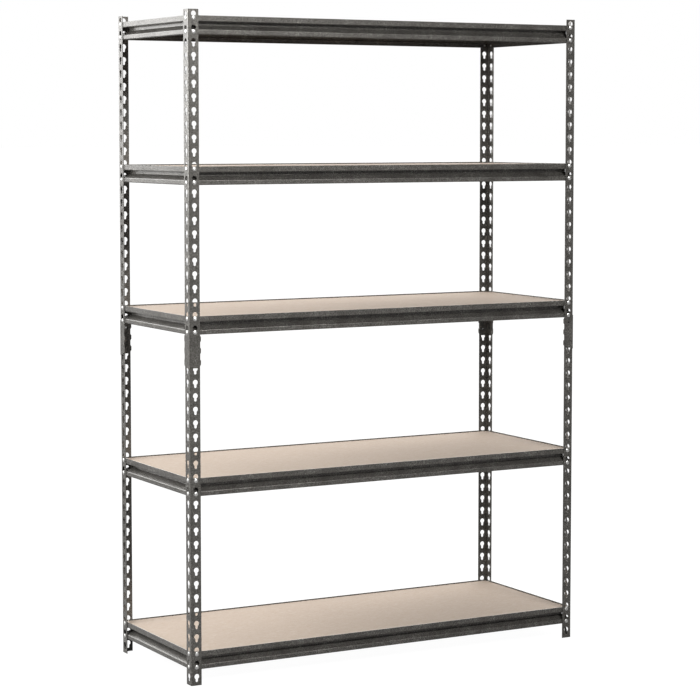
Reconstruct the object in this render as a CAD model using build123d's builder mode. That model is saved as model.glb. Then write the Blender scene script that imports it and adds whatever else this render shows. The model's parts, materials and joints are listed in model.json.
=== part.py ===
from build123d import *
import math
import os

# Boltless (rivet) steel shelving: five shelves on four angle posts. Millimetres.
# X runs along the shelves, Y from front to rear, Z up. The origin is on the floor,
# in the middle of the unit. Every post is two equal halves joined by an outer coupler.

# ---- overall size, over the faces of the posts ----
WIDTH = 1245.0
DEPTH = 470.0
HEIGHT = 1828.8
HALF_POST = HEIGHT / 2

# ---- angle post and its keyholes ----
LEG = 30.5
POST_SHEET = 1.5
POST_BEND = 3.2
PITCH = 36.576
KEYHOLES = 25
HOLE_LINE = 16.2
NECK_WIDTH = 7.5
NECK_LOW = 13.35
CIRCLE_DIA = 14.5
CIRCLE_RISE = 11.3

# ---- shelf beam section; depths run inward from the outer face of its bands ----
BEAM_SHEET = 1.2
BEAM_HEIGHT = 49.9
LIP_HEIGHT = 14.5
GROOVE_DEPTH = 20.0
WEB_LOW = 25.3
SLANT_LOW = 37.6
RETURN_FLANGE = 8.0
BEAM_BEND = 0.9
BEAM_END_GAP = 3.0
LONG_MITRE = -2.0
SHORT_MITRE = 4.0
LIP_ABOVE_RIVET = 6.45

# ---- shelf heights, as the number of the keyhole that the upper rivets hang in ----
SHELF_KEYHOLES = [2, 15, 27, 38, 49]
FIRST_UPPER_SHELF = 2

# ---- deck board ----
DECK_THICKNESS = 11.5
DECK_GAP = 2.6
DECK_EDGE = 0.5

# ---- rivet ----
HEAD_DIA = 11.4
HEAD_HEIGHT = 2.1
HEAD_RIM = 0.6
SHOULDER_DIA = 7.3
TENON_DIA = 5.0
TAIL_DIA = 8.0
TAIL_HEIGHT = 1.7

# ---- coupler, the sleeve over the joint of two half posts ----
COUPLER_SHEET = 1.2
COUPLER_SLACK = 0.2
COUPLER_HALF = 50.0
COUPLER_EDGE_HALF = 42.4
TAB_SPACING = 32.0
TAB_HALF = 9.0
TAB_REACH = 8.0
TAB_STANDOFF = 1.8
TAB_BEND = 1.9
KEYHOLE_NOTCH = 3.0
COUPLER_HOLE_DIA = 4.6
COUPLER_HOLE_RISE = 28.3

# Outer corners of the unit: name, place, and the direction of the first leg.
# The second leg lies a quarter turn anticlockwise of the first, seen from above.
CORNERS = [
    ("front_left", -1, -1, (1, 0, 0)),
    ("front_right", 1, -1, (0, 1, 0)),
    ("rear_right", 1, 1, (-1, 0, 0)),
    ("rear_left", -1, 1, (0, -1, 0)),
]

# Sides of the unit: name, outward direction, distance of that face, length of that side,
# and how far its beam's mitres stand back from the true diagonals of the corners.
SIDES = [
    ("front", (0, -1, 0), DEPTH / 2, WIDTH, LONG_MITRE),
    ("right", (1, 0, 0), WIDTH / 2, DEPTH, SHORT_MITRE),
    ("rear", (0, 1, 0), DEPTH / 2, WIDTH, LONG_MITRE),
    ("left", (-1, 0, 0), WIDTH / 2, DEPTH, SHORT_MITRE),
]


def shelf_top(level):
    """Height of the lip of one shelf, counted from the bottom shelf."""
    return NECK_LOW + PITCH * SHELF_KEYHOLES[level] + LIP_ABOVE_RIVET


def corner_plane(x_side, y_side, first_leg, height):
    """Level plane at an outer corner, with the two legs along its X and Y."""
    origin = (x_side * WIDTH / 2, y_side * DEPTH / 2, height)
    return Plane(origin=origin, x_dir=first_leg, z_dir=(0, 0, 1))


def leg_planes(corner):
    """Upright planes on the outer faces of the two legs, with the side each leg is on."""
    first = Plane(origin=corner.origin, x_dir=corner.x_dir, z_dir=corner.y_dir * -1)
    second = Plane(origin=corner.origin, x_dir=corner.y_dir * -1, z_dir=corner.x_dir * -1)
    return [(first, 1), (second, -1)]


def side_plane(outward, distance, height):
    """Upright plane on one face of the unit: X along the face, Y up, normal outward."""
    normal = Vector(*outward)
    along = Vector(0, 0, 1).cross(normal)
    return Plane(origin=normal * distance + Vector(0, 0, height), x_dir=along, z_dir=normal)


def round_edge(builder, corner, inset, rise, radius):
    """Round the upright edge that stands at equal distances inside both legs of a corner."""
    place = corner.from_local_coords(Vector(inset, inset, rise))
    fillet(builder.edges().filter_by(Axis.Z).sort_by_distance(place)[0], radius)


def make_post(x_side, y_side, first_leg, base):
    """Half a post: a bent angle with a row of keyholes in each leg."""
    corner = corner_plane(x_side, y_side, first_leg, base)
    with BuildPart() as post:
        with BuildSketch(corner):
            with BuildLine():
                Polyline((0, LEG), (0, 0), (LEG, 0), (LEG, POST_SHEET),
                         (POST_SHEET, POST_SHEET), (POST_SHEET, LEG), (0, LEG))
            make_face()
        extrude(amount=HALF_POST)
        round_edge(post, corner, 0, HALF_POST / 2, POST_BEND)
        round_edge(post, corner, POST_SHEET, HALF_POST / 2, POST_BEND - POST_SHEET)
        for face, side in leg_planes(corner):
            with BuildSketch(face):
                for number in range(KEYHOLES):
                    low = NECK_LOW + PITCH * number
                    with Locations((side * HOLE_LINE, low)):
                        Circle(NECK_WIDTH / 2)
                    with Locations((side * HOLE_LINE, low + CIRCLE_RISE / 2)):
                        Rectangle(NECK_WIDTH, CIRCLE_RISE)
                    with Locations((side * HOLE_LINE, low + CIRCLE_RISE)):
                        Circle(CIRCLE_DIA / 2)
            extrude(amount=-2 * POST_SHEET, mode=Mode.SUBTRACT)
    return post.part


def make_tab(face, side, height):
    """One tab of a coupler: it wraps round the free edge of a leg and hooks inside it."""
    outer = COUPLER_SLACK + COUPLER_SHEET
    inner_face = -POST_SHEET - COUPLER_SLACK
    edge = LEG + TAB_STANDOFF
    hook = LEG - TAB_REACH
    shoulder = LEG - TAB_REACH / 2
    with BuildPart() as tab:
        level = Plane(origin=face.from_local_coords(Vector(0, height - TAB_HALF, 0)),
                      x_dir=face.x_dir, z_dir=face.y_dir)
        with BuildSketch(level) as wrap:
            with BuildLine():
                # On this plane Y runs inward, away from the outer face of the leg.
                Polyline((side * hook, -COUPLER_SLACK),
                         (side * edge, -COUPLER_SLACK),
                         (side * edge, -inner_face),
                         (side * hook, -inner_face),
                         (side * hook, -inner_face + COUPLER_SHEET),
                         (side * (edge + COUPLER_SHEET), -inner_face + COUPLER_SHEET),
                         (side * (edge + COUPLER_SHEET), -outer),
                         (side * hook, -outer),
                         (side * hook, -COUPLER_SLACK))
            make_face()
            outer_corners = wrap.vertices().group_by(Axis((0, 0, 0), (side, 0, 0)))[-1]
            fillet(outer_corners, TAB_BEND)
        extrude(amount=2 * TAB_HALF)
        with BuildSketch(face):
            with BuildLine():
                Polyline((side * hook, height - TAB_HALF * 0.7),
                         (side * shoulder, height - TAB_HALF),
                         (side * LEG, height - TAB_HALF * 0.92),
                         (side * (edge + COUPLER_SHEET), height - TAB_HALF * 0.5),
                         (side * (edge + COUPLER_SHEET), height + TAB_HALF * 0.5),
                         (side * LEG, height + TAB_HALF * 0.92),
                         (side * shoulder, height + TAB_HALF),
                         (side * hook, height + TAB_HALF * 0.7),
                         (side * hook, height - TAB_HALF * 0.7))
            make_face()
        extrude(amount=4 * LEG, both=True, mode=Mode.INTERSECT)
    return tab.part


def make_coupler(x_side, y_side, first_leg):
    """Angle sleeve outside the joint of two half posts, with three tabs on each leg."""
    corner = corner_plane(x_side, y_side, first_leg, HALF_POST)
    outside = COUPLER_SLACK + COUPLER_SHEET
    rivet_notch = HEAD_DIA / 2 + 1.7
    rivet_drop = NECK_LOW + PITCH * (SHELF_KEYHOLES[FIRST_UPPER_SHELF] - 1) - HALF_POST
    upright = 1 if x_side != y_side else -1
    tabs = [make_tab(face, side, step * TAB_SPACING)
            for face, side in leg_planes(corner) for step in (-1, 0, 1)]
    with BuildPart() as coupler:
        with BuildSketch(corner.offset(-COUPLER_HALF)):
            with BuildLine():
                Polyline((-outside, LEG), (-outside, -outside), (LEG, -outside),
                         (LEG, -COUPLER_SLACK), (-COUPLER_SLACK, -COUPLER_SLACK),
                         (-COUPLER_SLACK, LEG), (-outside, LEG))
            make_face()
        extrude(amount=2 * COUPLER_HALF)
        round_edge(coupler, corner, -COUPLER_SLACK, 0, POST_BEND + COUPLER_SLACK)
        round_edge(coupler, corner, -outside, 0, POST_BEND + outside)
        for face, side in leg_planes(corner):
            with BuildSketch(face.offset(LEG)):
                # The free half of each leg is shorter, to clear the beam and the keyhole below.
                for end, start in ((1, HOLE_LINE), (-1, HOLE_LINE + CIRCLE_DIA / 2)):
                    with Locations((side * (start + LEG / 2), end * (COUPLER_EDGE_HALF + LEG / 2))):
                        Rectangle(LEG, LEG)
                with Locations((side * HOLE_LINE, rivet_drop)):
                    Circle(rivet_notch)
                with Locations((side * HOLE_LINE, COUPLER_HALF)):
                    Rectangle(2 * rivet_notch, 2 * (COUPLER_HALF - rivet_drop))
                with Locations((side * HOLE_LINE, -COUPLER_HALF)):
                    Rectangle(CIRCLE_DIA, 2 * KEYHOLE_NOTCH)
            extrude(amount=-LEG - POST_SHEET, mode=Mode.SUBTRACT)
        # The small hole is in the leg along X, and low where the sleeve is used upside down.
        hole_face, hole_side = leg_planes(corner)[1 if upright > 0 else 0]
        with BuildSketch(hole_face.offset(outside)):
            with Locations((hole_side * HOLE_LINE, upright * COUPLER_HOLE_RISE)):
                Circle(COUPLER_HOLE_DIA / 2)
        extrude(amount=-2 * COUPLER_SHEET, mode=Mode.SUBTRACT)
        add(tabs)
    return coupler.part


def make_beam(outward, distance, side_length, mitre, top):
    """One shelf beam: lip, ledge under the deck, web, slant, lower band and return flange."""
    face = side_plane(outward, distance - POST_SHEET, top)
    length = side_length - 2 * (POST_SHEET + BEAM_END_GAP)
    corner_x = side_length / 2 - POST_SHEET
    rivet_x = side_length / 2 - HOLE_LINE
    mitre_start = max(BEAM_SHEET, BEAM_END_GAP - mitre)
    groove = GROOVE_DEPTH
    sheet = BEAM_SHEET
    slant_run = math.atan2(SLANT_LOW - WEB_LOW, groove - sheet)
    slant_rise = sheet * (1 - math.sin(slant_run)) / math.cos(slant_run)
    # The five bends, from the lip down to the return flange, on the two faces of the sheet.
    inside_bends = [(sheet, -LIP_HEIGHT), (groove - sheet, -LIP_HEIGHT - sheet),
                    (groove - sheet, -WEB_LOW), (sheet, -SLANT_LOW - slant_rise),
                    (sheet, -BEAM_HEIGHT + sheet)]
    outside_bends = [(0, -LIP_HEIGHT - sheet), (groove, -LIP_HEIGHT),
                     (groove, -WEB_LOW - slant_rise), (0, -SLANT_LOW), (0, -BEAM_HEIGHT)]
    section_plane = Plane(origin=face.origin - face.x_dir * (length / 2),
                          x_dir=face.z_dir * -1, z_dir=face.x_dir)
    with BuildPart() as beam:
        with BuildSketch(section_plane) as section:
            with BuildLine():
                Polyline((0, 0), (sheet, 0), inside_bends[0], outside_bends[1], outside_bends[2],
                         inside_bends[3], inside_bends[4], (RETURN_FLANGE, -BEAM_HEIGHT + sheet),
                         (RETURN_FLANGE, -BEAM_HEIGHT), outside_bends[4], outside_bends[3],
                         inside_bends[2], inside_bends[1], outside_bends[0], (0, 0))
            make_face()
            for corner in inside_bends:
                fillet(section.vertices().sort_by_distance(corner)[0], BEAM_BEND)
            for corner in outside_bends:
                fillet(section.vertices().sort_by_distance(corner)[0], BEAM_BEND + sheet)
        extrude(amount=length)
        # Mitre everything behind the two bands, so that beams meet at the corners.
        with BuildSketch(Plane(origin=face.origin, x_dir=face.x_dir, z_dir=(0, 0, 1))):
            for end in (-1, 1):
                with BuildLine():
                    Polyline((end * corner_x, mitre_start),
                             (end * (corner_x - mitre_start - mitre), mitre_start),
                             (end * (corner_x - 2 * groove - mitre), 2 * groove),
                             (end * corner_x, 2 * groove),
                             (end * corner_x, mitre_start))
                make_face()
        extrude(amount=-BEAM_HEIGHT - 1, mode=Mode.SUBTRACT)
        with BuildSketch(face):
            for end in (-1, 1):
                with Locations((end * rivet_x, -LIP_ABOVE_RIVET),
                               (end * rivet_x, -LIP_ABOVE_RIVET - PITCH)):
                    Circle(TENON_DIA / 2)
        extrude(amount=-2 * sheet, mode=Mode.SUBTRACT)
    return beam.part


def dome_middle(base_radius, rise):
    """Halfway point, in radius and height, of the arc of a dome centred on its axis."""
    sphere = (base_radius ** 2 + rise ** 2) / (2 * rise)
    half_angle = math.asin(base_radius / sphere) / 2
    return sphere * math.sin(half_angle), rise - sphere * (1 - math.cos(half_angle))


def make_rivet(seat):
    """One rivet. Its head bears on the outer face of a post leg, at the plane's origin."""
    grip = POST_SHEET + BEAM_SHEET
    head_x, head_y = dome_middle(HEAD_DIA / 2, HEAD_HEIGHT - HEAD_RIM)
    tail_x, tail_y = dome_middle(TAIL_DIA / 2, TAIL_HEIGHT)
    with BuildPart() as rivet:
        with BuildSketch(Plane(origin=seat.origin, x_dir=seat.x_dir, z_dir=seat.y_dir)):
            # On this plane Y runs inward along the axis of the rivet.
            with BuildLine():
                ThreePointArc((0, -HEAD_HEIGHT), (head_x, -HEAD_RIM - head_y), (HEAD_DIA / 2, -HEAD_RIM))
                Polyline((HEAD_DIA / 2, -HEAD_RIM), (HEAD_DIA / 2, 0), (SHOULDER_DIA / 2, 0),
                         (SHOULDER_DIA / 2, POST_SHEET), (TENON_DIA / 2, POST_SHEET),
                         (TENON_DIA / 2, grip), (TAIL_DIA / 2, grip))
                ThreePointArc((TAIL_DIA / 2, grip), (tail_x, grip + tail_y), (0, grip + TAIL_HEIGHT))
                Line((0, grip + TAIL_HEIGHT), (0, -HEAD_HEIGHT))
            make_face()
        revolve(axis=Axis(seat.origin, seat.z_dir))
    return rivet.part


def make_shelf_rivets(top):
    """The sixteen rivets of one shelf: two at each end of its four beams."""
    solids = []
    for side_name, outward, distance, side_length, mitre in SIDES:
        for drop in (LIP_ABOVE_RIVET, LIP_ABOVE_RIVET + PITCH):
            face = side_plane(outward, distance, top - drop)
            for end in (-1, 1):
                centre = face.from_local_coords(Vector(end * (side_length / 2 - HOLE_LINE), 0, 0))
                solids.append(make_rivet(Plane(origin=centre, x_dir=face.x_dir, z_dir=face.z_dir)))
    with BuildPart() as rivets:
        add(solids)
    return rivets.part


def make_deck(top):
    """Loose board lying on the ledges of the four beams, inside their lips."""
    inset = POST_SHEET + BEAM_SHEET + DECK_GAP
    with BuildPart() as deck:
        with BuildSketch(Plane.XY.offset(top - LIP_HEIGHT)):
            Rectangle(WIDTH - 2 * inset, DEPTH - 2 * inset)
        extrude(amount=DECK_THICKNESS)
        chamfer(deck.faces().sort_by(Axis.Z)[-1].edges(), DECK_EDGE)
    return deck.part


def save(piece, name):
    """Label one piece and write it to its own file."""
    piece.label = name
    export_step(piece, f"parts/{name}.step")
    print(name, len(piece.solids()), round(piece.volume, 1))


os.makedirs("parts", exist_ok=True)

for corner_name, x_side, y_side, first_leg in CORNERS:
    save(make_post(x_side, y_side, first_leg, 0), f"lower_post_{corner_name}")
    save(make_post(x_side, y_side, first_leg, HALF_POST), f"upper_post_{corner_name}")
    save(make_coupler(x_side, y_side, first_leg), f"post_coupler_{corner_name}")

for level in range(len(SHELF_KEYHOLES)):
    shelf = f"shelf_{level + 1}"
    for side_name, outward, distance, side_length, mitre in SIDES:
        beam = make_beam(outward, distance, side_length, mitre, shelf_top(level))
        save(beam, f"{shelf}_{side_name}_beam")
    save(make_shelf_rivets(shelf_top(level)), f"{shelf}_rivets")
    save(make_deck(shelf_top(level)), f"{shelf}_deck")
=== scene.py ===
"""Looks of the boltless steel shelving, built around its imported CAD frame. Metres."""
import json
import math

import bpy
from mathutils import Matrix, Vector


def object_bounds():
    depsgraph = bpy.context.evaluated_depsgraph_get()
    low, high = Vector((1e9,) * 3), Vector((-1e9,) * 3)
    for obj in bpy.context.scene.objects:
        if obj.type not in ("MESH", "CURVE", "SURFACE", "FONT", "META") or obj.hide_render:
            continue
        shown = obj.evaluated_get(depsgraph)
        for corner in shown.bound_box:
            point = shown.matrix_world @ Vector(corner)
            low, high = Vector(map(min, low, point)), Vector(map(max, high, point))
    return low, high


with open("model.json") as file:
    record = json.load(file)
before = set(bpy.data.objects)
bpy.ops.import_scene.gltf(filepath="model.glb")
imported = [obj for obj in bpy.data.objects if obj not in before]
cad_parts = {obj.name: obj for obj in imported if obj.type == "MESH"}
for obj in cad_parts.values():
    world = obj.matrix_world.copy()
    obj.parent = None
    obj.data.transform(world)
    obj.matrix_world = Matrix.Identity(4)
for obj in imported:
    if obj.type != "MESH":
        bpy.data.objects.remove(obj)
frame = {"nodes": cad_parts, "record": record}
cad_low, cad_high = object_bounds()

# ---- viewpoint, floor and light ----
CAMERA_AZIMUTH = -29.0
CAMERA_ELEVATION = 4.35
CAMERA_DISTANCE = 6.57
CAMERA_LENS = 116.2
CAMERA_SHIFT = -0.0648
SENSOR_WIDTH = 36.0
TARGET_SHARE = 0.5476
FLOOR_SIZE = 400.0
FLOOR_GAP_MM = 0.2
FLOOR_GLOW = 0.975
FLOOR_SEEN = (0.07, 0.07, 0.07, 1)
FLOOR_LIT = (0.2, 0.2, 0.2, 1)
BACKDROP_DIRECTION = (-0.2, 0.97, -0.05)
BACKDROP_LIGHT = 4.0
BACKDROP_EDGE = (-0.35, 0.55)
ROOM_LIGHT = 0.06

# ---- lamps: name, azimuth, elevation, distance, size, watts and spread; share of the height aimed at ----
FRONT_LAMP = ("front", 16, 33, 6.0, (2.0, 2.0), 72, 70)
FRONT_LAMP_AIM = 0.45
LEFT_LAMP = ("left", -104, 10, 1.9, (0.9, 1.2), 42, 180)
LEFT_LAMP_AIM = 0.85
LAMP_SIDESTEP = 0.25

# ---- colours of the paint, the plate and the boards, and the layers of chips in the boards ----
# A layer is its turn in degrees, the chip size in millimetres, the stretch and how strongly it shows.
SILVER = (0.39, 0.373, 0.345)
SILVER_DARK = (0.125, 0.118, 0.106)
SILVER_FLAKE = (0.6, 0.585, 0.55)
VEIN = (0.03, 0.027, 0.023)
PLATE = (0.66, 0.655, 0.64)
PLATE_DULL = (0.5, 0.495, 0.48)
BOARD_DARK = (0.297, 0.24, 0.194)
BOARD_PALE = (0.353, 0.291, 0.241)
BOARD_BROAD = (0.297, 0.246, 0.203)
CHIP_DARK = (0.263, 0.2, 0.145)
CHIP_PALE = (0.405, 0.353, 0.3)
SPECK = (0.17, 0.115, 0.075)
CHIP_LAYERS = ((17, 4.6, (0.36, 1, 1), 0.42), (76, 3.6, (0.4, 1, 1), 0.36), (131, 2.2, (0.5, 1, 1), 0.3))

# ---- one millimetre, so that the sizes of veins and chips read as real ones ----
MM = 0.001


# ------------------------------------------------------------------ node helpers
class Shader:
    """A material's node tree, with short calls for the nodes used here."""

    def __init__(self, name):
        self.material = bpy.data.materials.new(name)
        self.material.use_nodes = True
        self.tree = self.material.node_tree
        self.tree.nodes.clear()
        self.output = self.add("ShaderNodeOutputMaterial")

    def add(self, kind, **settings):
        node = self.tree.nodes.new(kind)
        for key, value in settings.items():
            setattr(node, key, value)
        return node

    def link(self, source, target):
        self.tree.links.new(source, target)

    def place(self, size_mm, stretch=(1, 1, 1), turn=(0, 0, 0)):
        """Object coordinates in which one unit is size_mm long, after a turn and a stretch."""
        coordinates = self.add("ShaderNodeTexCoord")
        mapping = self.add("ShaderNodeMapping", vector_type="POINT")
        mapping.inputs["Rotation"].default_value = [math.radians(a) for a in turn]
        mapping.inputs["Scale"].default_value = [s / (size_mm * MM) for s in stretch]
        self.link(coordinates.outputs["Object"], mapping.inputs["Vector"])
        return mapping.outputs["Vector"]

    def noise(self, vector, detail=3.0, roughness=0.55, distortion=0.0):
        node = self.add("ShaderNodeTexNoise")
        node.inputs["Scale"].default_value = 1.0
        node.inputs["Detail"].default_value = detail
        node.inputs["Roughness"].default_value = roughness
        node.inputs["Distortion"].default_value = distortion
        self.link(vector, node.inputs["Vector"])
        return node

    def cells(self, vector, feature="F1"):
        node = self.add("ShaderNodeTexVoronoi", feature=feature)
        node.inputs["Scale"].default_value = 1.0
        self.link(vector, node.inputs["Vector"])
        return node

    def warp(self, vector, by, amount):
        """The same coordinates, pushed about by a noise colour."""
        centred = self.add("ShaderNodeVectorMath", operation="SUBTRACT")
        self.link(by, centred.inputs[0])
        centred.inputs[1].default_value = (0.5, 0.5, 0.5)
        scaled = self.add("ShaderNodeVectorMath", operation="SCALE")
        self.link(centred.outputs[0], scaled.inputs[0])
        scaled.inputs["Scale"].default_value = amount
        moved = self.add("ShaderNodeVectorMath", operation="ADD")
        self.link(vector, moved.inputs[0])
        self.link(scaled.outputs[0], moved.inputs[1])
        return moved.outputs[0]

    def ramp(self, value, low, high, out_low=0.0, out_high=1.0):
        """Clamped linear map of a value."""
        node = self.add("ShaderNodeMapRange", clamp=True)
        self.link(value, node.inputs["Value"])
        node.inputs["From Min"].default_value = low
        node.inputs["From Max"].default_value = high
        node.inputs["To Min"].default_value = out_low
        node.inputs["To Max"].default_value = out_high
        return node.outputs["Result"]

    def maths(self, operation, first, second=None):
        node = self.add("ShaderNodeMath", operation=operation)
        for socket, value in zip(node.inputs, (first, second)):
            if value is None:
                continue
            if isinstance(value, (int, float)):
                socket.default_value = value
            else:
                self.link(value, socket)
        return node.outputs[0]

    def mix(self, share, first, second):
        """Mix of two colours. Each is a socket or an RGB triple."""
        node = self.add("ShaderNodeMix", data_type="RGBA")
        self.link(share, node.inputs["Factor"])
        for name, value in (("A", first), ("B", second)):
            socket = [s for s in node.inputs if s.name == name and s.type == "RGBA"][0]
            if isinstance(value, tuple):
                socket.default_value = (*value, 1)
            else:
                self.link(value, socket)
        return [s for s in node.outputs if s.type == "RGBA"][0]

    def bump(self, height, distance_mm, strength):
        node = self.add("ShaderNodeBump")
        node.inputs["Strength"].default_value = strength
        node.inputs["Distance"].default_value = distance_mm * MM
        self.link(height, node.inputs["Height"])
        return node.outputs["Normal"]

    def finish(self, color, roughness, normal, **fixed):
        """Ends the tree in one shader. The fixed values are set on its own sockets."""
        shader = self.add("ShaderNodeBsdfPrincipled")
        self.link(color, shader.inputs["Base Color"])
        self.link(roughness, shader.inputs["Roughness"])
        self.link(normal, shader.inputs["Normal"])
        for name, value in fixed.items():
            shader.inputs[name].default_value = value
        self.link(shader.outputs[0], self.output.inputs["Surface"])
        return self.material


# ------------------------------------------------------------------ materials
def vein_paint(name):
    """Silver vein powder coat: silvery islands with dark, slightly sunken veins between them."""
    s = Shader(name)
    wobble = s.noise(s.place(2.0), detail=3.0)
    drift = s.noise(s.place(7.0), detail=1.0)
    veined = s.warp(s.warp(s.place(3.3), wobble.outputs["Color"], 1.6), drift.outputs["Color"], 1.2)
    edge = s.cells(veined, feature="DISTANCE_TO_EDGE")
    fold = s.noise(s.warp(s.place(2.1), drift.outputs["Color"], 2.0), detail=3.0, distortion=0.6)
    blotch = s.noise(s.place(5.0), detail=2.5, roughness=0.6)
    folded = s.maths("ABSOLUTE", s.maths("SUBTRACT", fold.outputs["Fac"], 0.5))
    # Veins are where either pattern runs out; they are thin, and they break off in places.
    island = s.maths("MULTIPLY", s.ramp(edge.outputs["Distance"], 0.0, 0.22, 0.3, 1.0),
                     s.ramp(folded, 0.0, 0.045, 0.35, 1.0))
    tone = s.cells(veined)
    pick = s.add("ShaderNodeSeparateColor")
    s.link(tone.outputs["Color"], pick.inputs["Color"])
    patch = s.noise(s.place(60.0), detail=4.0)
    flake = s.noise(s.place(0.4), detail=1.0)

    silver = s.mix(s.ramp(patch.outputs["Fac"], 0.3, 0.7), SILVER_DARK, SILVER)
    silver = s.mix(s.ramp(pick.outputs["Red"], 0.0, 1.0, 0.0, 0.6), silver, SILVER_DARK)
    silver = s.mix(s.ramp(blotch.outputs["Fac"], 0.42, 0.6, 0.0, 0.85), silver, SILVER_DARK)
    silver = s.mix(s.ramp(flake.outputs["Fac"], 0.55, 0.75, 0.0, 0.45), silver, SILVER_FLAKE)
    color = s.mix(s.ramp(island, 0.2, 0.9), VEIN, silver)

    roughness = s.ramp(island, 0.1, 1.0, 0.46, 0.3)
    height = s.maths("ADD", island, s.maths("MULTIPLY", flake.outputs["Fac"], 0.15))
    normal = s.bump(height, 0.045, 0.8)
    gloss = {"Metallic": 0.6, "Coat Weight": 0.6, "Coat Roughness": 0.2}
    return s.finish(color, roughness, normal, **gloss)


def zinc(name):
    """Bright zinc plate on the rivets, with a soft cloud of duller plate and small dents."""
    s = Shader(name)
    cloud = s.noise(s.place(2.2), detail=4.0)
    grain = s.noise(s.place(0.35), detail=2.0)
    color = s.mix(s.ramp(cloud.outputs["Fac"], 0.35, 0.7), PLATE, PLATE_DULL)
    roughness = s.ramp(cloud.outputs["Fac"], 0.3, 0.7, 0.3, 0.46)
    height = s.maths("ADD", cloud.outputs["Fac"], s.maths("MULTIPLY", grain.outputs["Fac"], 0.3))
    return s.finish(color, roughness, s.bump(height, 0.1, 0.5), Metallic=0.7)


def particleboard(name):
    """Bare particleboard: flat wood chips of close tones, pressed into a fine pale dust."""
    s = Shader(name)
    ground = s.noise(s.place(0.9), detail=4.0, roughness=0.7)
    color = s.mix(s.ramp(ground.outputs["Fac"], 0.3, 0.7), BOARD_DARK, BOARD_PALE)
    height = s.maths("MULTIPLY", ground.outputs["Fac"], 0.5)
    # Layers of chips, each lying at its own angle.
    bend = s.noise(s.place(5.0), detail=1.0)
    for turn, size, stretch, amount in CHIP_LAYERS:
        lay = s.warp(s.place(size, stretch, (0, 0, turn)), bend.outputs["Color"], 0.8)
        chips = s.cells(lay)
        pick = s.add("ShaderNodeSeparateColor")
        s.link(chips.outputs["Color"], pick.inputs["Color"])
        edge = s.cells(lay, feature="DISTANCE_TO_EDGE")
        soft = s.ramp(edge.outputs["Distance"], 0.0, 0.16)
        chosen = s.maths("MULTIPLY", s.ramp(pick.outputs["Red"], 0.42, 0.6), soft)
        shown = s.maths("MULTIPLY", chosen, amount)
        tint = s.mix(pick.outputs["Green"], CHIP_DARK, CHIP_PALE)
        color = s.mix(shown, color, tint)
        height = s.maths("ADD", height, s.maths("MULTIPLY", pick.outputs["Blue"], 0.16))
    specks = s.cells(s.place(2.1))
    speck_pick = s.add("ShaderNodeSeparateColor")
    s.link(specks.outputs["Color"], speck_pick.inputs["Color"])
    dark = s.maths("MULTIPLY", s.ramp(speck_pick.outputs["Red"], 0.92, 0.95),
                   s.ramp(specks.outputs["Distance"], 0.34, 0.18))
    color = s.mix(s.maths("MULTIPLY", dark, 0.6), color, SPECK)
    broad = s.noise(s.place(220.0), detail=2.0)
    color = s.mix(s.ramp(broad.outputs["Fac"], 0.3, 0.7, 0.0, 0.22), color, BOARD_BROAD)
    roughness = s.ramp(ground.outputs["Fac"], 0.3, 0.7, 0.7, 0.85)
    return s.finish(color, roughness, s.bump(height, 0.08, 0.55), **{"Specular IOR Level": 0.08})


def paint_nodes():
    """Every CAD node keeps its shape and gets the material of its slot."""
    made = {"vein_paint": vein_paint("vein_paint"), "zinc": zinc("zinc"),
            "particleboard": particleboard("particleboard")}
    for part in frame["record"]["subparts"]:
        node = frame["nodes"][part["node"]]
        node.data.materials.clear()
        node.data.materials.append(made[part["material_slot"]])


# ------------------------------------------------------------------ stage
def make_floor():
    """A plain pale floor, nearly white, that takes only a faint shadow."""
    s = Shader("floor_white")
    glow = s.add("ShaderNodeEmission")
    glow.inputs["Strength"].default_value = FLOOR_GLOW
    plain = s.add("ShaderNodeBsdfDiffuse")
    plain.inputs["Color"].default_value = FLOOR_SEEN
    seen = s.add("ShaderNodeAddShader")
    s.link(glow.outputs[0], seen.inputs[0])
    s.link(plain.outputs[0], seen.inputs[1])
    lit = s.add("ShaderNodeBsdfDiffuse")
    lit.inputs["Color"].default_value = FLOOR_LIT
    path = s.add("ShaderNodeLightPath")
    either = s.add("ShaderNodeMixShader")
    s.link(path.outputs["Is Camera Ray"], either.inputs["Fac"])
    s.link(lit.outputs[0], either.inputs[1])
    s.link(seen.outputs[0], either.inputs[2])
    s.link(either.outputs[0], s.output.inputs["Surface"])
    mesh = bpy.data.meshes.new("floor")
    half = FLOOR_SIZE / 2
    level = cad_low.z - FLOOR_GAP_MM * MM
    corners = [(-half, -half, level), (half, -half, level), (half, half, level), (-half, half, level)]
    mesh.from_pydata(corners, [], [(0, 1, 2, 3)])
    mesh.materials.append(s.material)
    floor = bpy.data.objects.new("floor", mesh)
    bpy.context.scene.collection.objects.link(floor)


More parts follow.
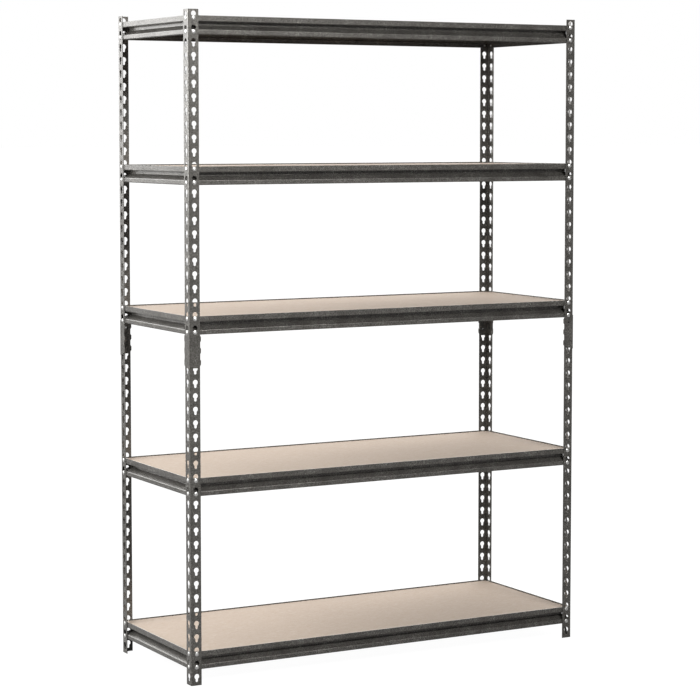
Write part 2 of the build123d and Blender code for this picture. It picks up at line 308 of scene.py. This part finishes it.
def make_sky():
    """White to the camera. To the object it is a bright backdrop behind and a dim room in front."""
    world = bpy.data.worlds.new("studio")
    world.use_nodes = True
    tree = world.node_tree
    tree.nodes.clear()
    output = tree.nodes.new("ShaderNodeOutputWorld")
    seen = tree.nodes.new("ShaderNodeBackground")
    seen.inputs["Strength"].default_value = 1.0
    seen.inputs["Color"].default_value = (1, 1, 1, 1)
    light = tree.nodes.new("ShaderNodeBackground")
    coordinates = tree.nodes.new("ShaderNodeTexCoord")
    facing = tree.nodes.new("ShaderNodeVectorMath")
    facing.operation = "DOT_PRODUCT"
    facing.inputs[1].default_value = Vector(BACKDROP_DIRECTION).normalized()
    tree.links.new(coordinates.outputs["Generated"], facing.inputs[0])
    level = tree.nodes.new("ShaderNodeMapRange")
    level.interpolation_type = "SMOOTHSTEP"
    level.inputs["From Min"].default_value, level.inputs["From Max"].default_value = BACKDROP_EDGE
    level.inputs["To Min"].default_value = ROOM_LIGHT
    level.inputs["To Max"].default_value = BACKDROP_LIGHT
    tree.links.new(facing.outputs["Value"], level.inputs["Value"])
    tree.links.new(level.outputs["Result"], light.inputs["Strength"])
    path = tree.nodes.new("ShaderNodeLightPath")
    either = tree.nodes.new("ShaderNodeMixShader")
    tree.links.new(path.outputs["Is Camera Ray"], either.inputs["Fac"])
    tree.links.new(light.outputs[0], either.inputs[1])
    tree.links.new(seen.outputs[0], either.inputs[2])
    tree.links.new(either.outputs[0], output.inputs["Surface"])
    bpy.context.scene.world = world


def aim(thing, target):
    """Turns a lamp or camera so that its -Z looks at the target."""
    direction = Vector(target) - thing.location
    thing.rotation_euler = direction.to_track_quat("-Z", "Y").to_euler()


def softbox(target, name, azimuth, elevation, distance, size, power, spread):
    """A soft rectangular lamp, placed like the camera by azimuth and elevation round a target."""
    turn, rise = math.radians(azimuth), math.radians(elevation)
    away = Vector((math.sin(turn) * math.cos(rise), -math.cos(turn) * math.cos(rise), math.sin(rise)))
    lamp = bpy.data.lights.new(name, "AREA")
    lamp.shape = "RECTANGLE"
    lamp.size, lamp.size_y = size
    lamp.energy = power
    lamp.spread = math.radians(spread)
    thing = bpy.data.objects.new(name, lamp)
    thing.location = Vector(target) + away * distance
    bpy.context.scene.collection.objects.link(thing)
    aim(thing, target)


def make_lights():
    height = cad_high.z - cad_low.z
    near_left = (cad_low.x - LAMP_SIDESTEP, cad_low.y, cad_low.z + FRONT_LAMP_AIM * height)
    top_left = (cad_low.x, 0, cad_low.z + LEFT_LAMP_AIM * height)
    softbox(near_left, *FRONT_LAMP)
    softbox(top_left, *LEFT_LAMP)


def make_camera():
    """Camera at the azimuth and elevation of the reference view, aimed at the unit's middle."""
    centre = (cad_low + cad_high) / 2
    target = Vector((centre.x, centre.y, cad_low.z + TARGET_SHARE * (cad_high.z - cad_low.z)))
    azimuth, elevation = math.radians(CAMERA_AZIMUTH), math.radians(CAMERA_ELEVATION)
    back = Vector((math.sin(azimuth) * math.cos(elevation), -math.cos(azimuth) * math.cos(elevation),
                   math.sin(elevation)))
    data = bpy.data.cameras.new("camera")
    data.sensor_width = SENSOR_WIDTH
    data.lens = CAMERA_LENS
    data.shift_y = CAMERA_SHIFT
    camera = bpy.data.objects.new("camera", data)
    camera.location = target + back * CAMERA_DISTANCE
    bpy.context.scene.collection.objects.link(camera)
    aim(camera, target)
    bpy.context.scene.camera = camera


paint_nodes()
make_floor()
make_sky()
make_lights()
make_camera()
bpy.context.scene.view_settings.view_transform = "Standard"
